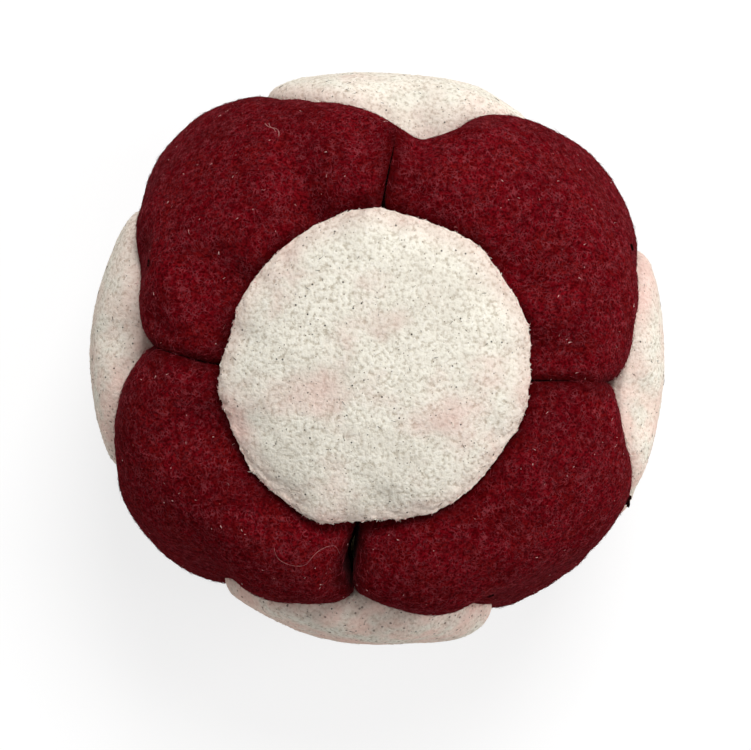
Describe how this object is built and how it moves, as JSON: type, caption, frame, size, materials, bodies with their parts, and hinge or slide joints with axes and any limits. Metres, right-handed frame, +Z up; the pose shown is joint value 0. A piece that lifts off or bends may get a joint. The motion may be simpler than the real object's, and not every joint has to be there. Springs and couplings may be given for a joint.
{
  "type": "footbag",
  "caption": "Palm-sized sand-filled kicking bag of suede panels sewn edge to edge: round cream discs between three-armed maroon lobes, slumped on a flat base.",
  "frame": {"origin": "middle of the flat underside that the bag rests on", "axes": "+Z up through the middles of the bottom and top discs, -Y to the front disc, +X to the right disc"},
  "size_m": [0.052, 0.052, 0.0385],
  "materials": {
    "cream_suede": "matte",
    "maroon_suede": "matte",
    "sewing_thread": "matte",
    "dry_sand": "matte"
  },
  "bodies": {
    "root": {"disc_top": "cream_suede", "disc_bottom": "cream_suede", "disc_front": "cream_suede", "disc_back": "cream_suede", "disc_right": "cream_suede", "disc_left": "cream_suede", "lobe_top_front_right": "maroon_suede", "lobe_top_front_left": "maroon_suede", "lobe_top_back_right": "maroon_suede", "lobe_top_back_left": "maroon_suede", "lobe_bottom_front_right": "maroon_suede", "lobe_bottom_front_left": "maroon_suede", "lobe_bottom_back_right": "maroon_suede", "lobe_bottom_back_left": "maroon_suede", "disc_thread_top": "sewing_thread", "disc_thread_bottom": "sewing_thread", "disc_thread_front": "sewing_thread", "disc_thread_back": "sewing_thread", "disc_thread_right": "sewing_thread", "disc_thread_left": "sewing_thread", "neck_thread_top_front": "sewing_thread", "neck_thread_top_back": "sewing_thread", "neck_thread_top_right": "sewing_thread", "neck_thread_top_left": "sewing_thread", "neck_thread_bottom_front": "sewing_thread", "neck_thread_bottom_back": "sewing_thread", "neck_thread_bottom_right": "sewing_thread", "neck_thread_bottom_left": "sewing_thread", "neck_thread_front_right": "sewing_thread", "neck_thread_front_left": "sewing_thread", "neck_thread_back_right": "sewing_thread", "neck_thread_back_left": "sewing_thread", "closing_knot": "sewing_thread", "sand_fill": "dry_sand"}
  },
  "joints": []
}
